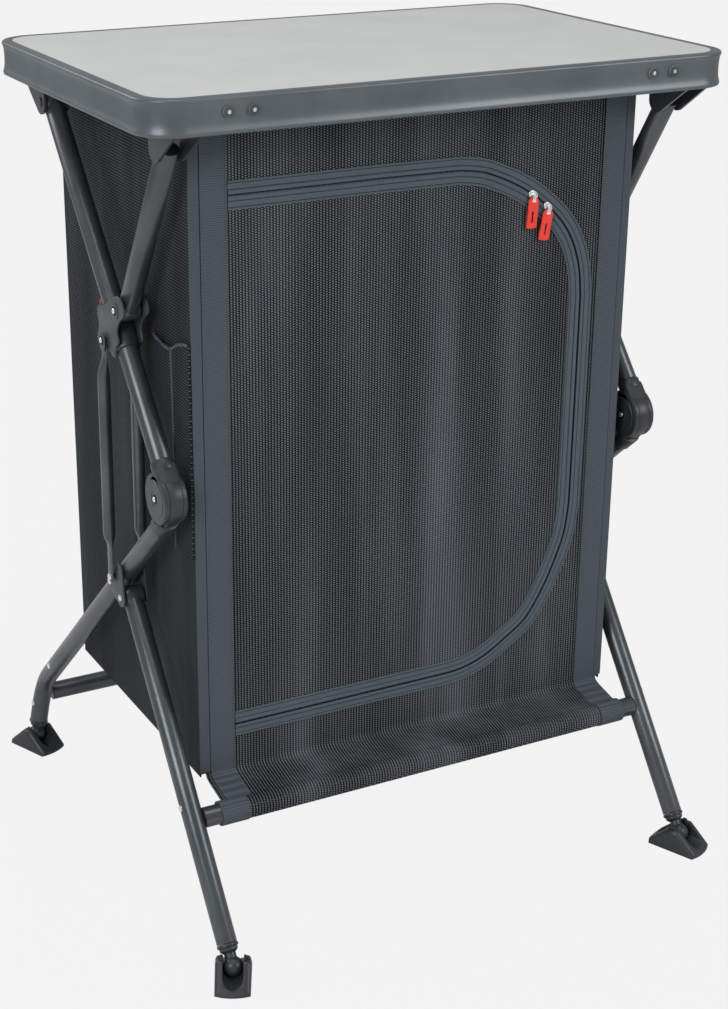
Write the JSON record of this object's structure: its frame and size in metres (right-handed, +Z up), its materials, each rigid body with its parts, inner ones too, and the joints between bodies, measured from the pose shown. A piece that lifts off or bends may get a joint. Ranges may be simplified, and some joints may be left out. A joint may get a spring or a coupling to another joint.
{
  "type": "folding camping cupboard",
  "caption": "Folding camping cupboard: a flat rimmed worktop on crossed folding side frames, with a hanging zipped mesh cupboard, shelves and swivelling feet.",
  "frame": {"origin": "on the ground, under the middle of the unfolded part's bounding box", "axes": "+Z up, the zipped front faces -Y, +X to the right seen from the front"},
  "size_m": [0.75, 0.7232, 1.03],
  "materials": {
    "laminate": "satin",
    "frame_paint": "satin",
    "rim_paint": "satin",
    "moulding": "matte",
    "panel_fabric": "matte",
    "webbing": "matte",
    "zip_tape": "matte",
    "red_moulding": "satin",
    "nickel": "polished",
    "shelf_board": "matte"
  },
  "bodies": {
    "table": {"table_board": "laminate", "rim_frame": "rim_paint", "front_bracket_left": "frame_paint", "front_bracket_right": "frame_paint", "rear_bracket_left": "frame_paint", "rear_bracket_right": "frame_paint", "front_panel": "panel_fabric", "back_panel": "panel_fabric", "side_panel_left": "panel_fabric", "side_panel_right": "panel_fabric", "side_pocket": "panel_fabric", "front_flap": "panel_fabric", "zip_tape_frame": "zip_tape", "webbing_left": "webbing", "webbing_right": "webbing"},
    "rear_struts": {"rear_strut_left": "frame_paint", "rear_strut_right": "frame_paint", "hub_left": "moulding", "hub_right": "moulding", "knuckle_upper_left": "moulding", "knuckle_upper_right": "moulding"},
    "front_struts": {"front_strut_left": "frame_paint", "front_strut_right": "frame_paint"},
    "rear_legs": {"rear_leg_left": "frame_paint", "rear_leg_right": "frame_paint", "knuckle_lower_left": "moulding", "knuckle_lower_right": "moulding", "leg_bracket_left": "frame_paint", "leg_bracket_right": "frame_paint", "rear_crossbar": "frame_paint", "foot_plug_rear_left": "moulding", "foot_plug_rear_right": "moulding"},
    "front_legs": {"front_leg_left": "frame_paint", "front_leg_right": "frame_paint", "front_crossbar": "frame_paint", "bar_sleeve": "webbing", "foot_plug_front_left": "moulding", "foot_plug_front_right": "moulding"},
    "braces": {"brace_outer_left": "frame_paint", "brace_outer_right": "frame_paint", "brace_inner_left": "frame_paint", "brace_inner_right": "frame_paint"},
    "floor": {"floor_board": "shelf_board"},
    "shelf_low": {"shelf_lower": "shelf_board"},
    "shelf_high": {"shelf_upper": "shelf_board"},
    "door": {"door_panel": "panel_fabric", "zip_tape_door": "zip_tape"},
    "slider_high": {"zip_slider_upper": "nickel"},
    "slider_low": {"zip_slider_lower": "nickel"},
    "pull_high": {"zip_pull_upper": "red_moulding"},
    "pull_low": {"zip_pull_lower": "red_moulding"},
    "button_left": {"lock_button_left": "red_moulding"},
    "button_right": {"lock_button_right": "red_moulding"},
    "pad_front_left": {"foot_pad_front_left": "moulding"},
    "pad_front_right": {"foot_pad_front_right": "moulding"},
    "pad_rear_left": {"foot_pad_rear_left": "moulding"},
    "pad_rear_right": {"foot_pad_rear_right": "moulding"}
  },
  "joints": [
    {"name": "rear_strut_fold", "type": "hinge", "parent": "table", "child": "rear_struts", "pos_m": [0, 0.1662, 0.96], "axis": [-1, 0, 0], "range_deg": [0, 43.5], "deforming": ["front_panel", "back_panel", "side_panel_left", "side_panel_right", "side_pocket", "front_flap", "zip_tape_frame", "webbing_left", "webbing_right", "door_panel", "zip_tape_door"]},
    {"name": "front_strut_swing", "type": "hinge", "parent": "rear_struts", "child": "front_struts", "pos_m": [0, -0.05925, 0.75697], "axis": [1, 0, 0], "range_deg": [0, 103]},
    {"name": "rear_leg_fold", "type": "hinge", "parent": "rear_struts", "child": "rear_legs", "pos_m": [0, -0.15779, 0.55802], "axis": [1, 0, 0], "range_deg": [0, 83.5]},
    {"name": "front_leg_fold", "type": "hinge", "parent": "rear_legs", "child": "front_legs", "pos_m": [0, -0.03996, 0.38538], "axis": [1, 0, 0], "range_deg": [0, 74]},
    {"name": "brace_swing", "type": "hinge", "parent": "rear_legs", "child": "braces", "pos_m": [0, -0.0212, 0.40779], "axis": [-1, 0, 0], "range_deg": [0, 132]},
    {"name": "floor_lift", "type": "slide", "parent": "table", "child": "floor", "axis": [0, 0, 1], "range_m": [0, 0.745]},
    {"name": "lower_shelf_lift", "type": "slide", "parent": "table", "child": "shelf_low", "axis": [0, 0, 1], "range_m": [0, 0.487]},
    {"name": "upper_shelf_lift", "type": "slide", "parent": "table", "child": "shelf_high", "axis": [0, 0, 1], "range_m": [0, 0.225]},
    {"name": "door_swing", "type": "hinge", "parent": "table", "child": "door", "pos_m": [-0.248, -0.169, 0.5765], "axis": [0, 0, -1], "range_deg": [0, 135]},
    {"name": "slider_high_slide", "type": "slide", "parent": "door", "child": "slider_high", "axis": [-0.8572, 0, 0.515], "range_m": [0, 0.04]},
    {"name": "pull_high_lift", "type": "hinge", "parent": "slider_high", "child": "pull_high", "pos_m": [0.152, -0.1721, 0.865], "axis": [-0.9981, 0, 0.061], "range_deg": [0, 100]},
    {"name": "slider_low_slide", "type": "slide", "parent": "door", "child": "slider_low", "axis": [0.7071, 0, -0.7071], "range_m": [0, 0.045]},
    {"name": "pull_low_lift", "type": "hinge", "parent": "slider_low", "child": "pull_low", "pos_m": [0.174, -0.1721, 0.848], "axis": [-0.9877, 0, 0.1564], "range_deg": [0, 100]},
    {"name": "button_left_press", "type": "slide", "parent": "rear_struts", "child": "button_left", "axis": [0, -0.757, 0.6534], "range_m": [0, 0.004], "stiffness_N_per_m": 600, "springref_m": -0.002},
    {"name": "button_right_press", "type": "slide", "parent": "rear_struts", "child": "button_right", "axis": [0, -0.757, 0.6534], "range_m": [0, 0.004], "stiffness_N_per_m": 600, "springref_m": -0.002},
    {"name": "pad_front_left_tilt", "type": "hinge", "parent": "front_legs", "child": "pad_front_left", "pos_m": [-0.3262, -0.3228, 0.0195], "axis": [-0.891, 0.454, 0], "range_deg": [-12, 12]},
    {"name": "pad_front_right_tilt", "type": "hinge", "parent": "front_legs", "child": "pad_front_right", "pos_m": [0.3262, -0.3228, 0.0195], "axis": [-0.9205, -0.3907, 0], "range_deg": [-12, 12]},
    {"name": "pad_rear_left_tilt", "type": "hinge", "parent": "rear_legs", "child": "pad_rear_left", "pos_m": [-0.341, 0.3232, 0.0195], "axis": [-0.9205, -0.3907, 0], "range_deg": [-12, 12]},
    {"name": "pad_rear_right_tilt", "type": "hinge", "parent": "rear_legs", "child": "pad_rear_right", "pos_m": [0.341, 0.3232, 0.0195], "axis": [-0.9205, 0.3907, 0], "range_deg": [-12, 12]}
  ],
  "couplings": [
    {"joint": "front_strut_swing", "follows": "rear_strut_fold", "ratio": 2.3678},
    {"joint": "rear_leg_fold", "follows": "rear_strut_fold", "ratio": 1.9195},
    {"joint": "front_leg_fold", "follows": "rear_strut_fold", "ratio": 1.7011},
    {"joint": "brace_swing", "follows": "rear_strut_fold", "ratio": 3.0345},
    {"joint": "floor_lift", "follows": "rear_strut_fold", "m_per_rad": 0.98127},
    {"joint": "lower_shelf_lift", "follows": "rear_strut_fold", "m_per_rad": 0.64144},
    {"joint": "upper_shelf_lift", "follows": "rear_strut_fold", "m_per_rad": 0.29635}
  ]
}
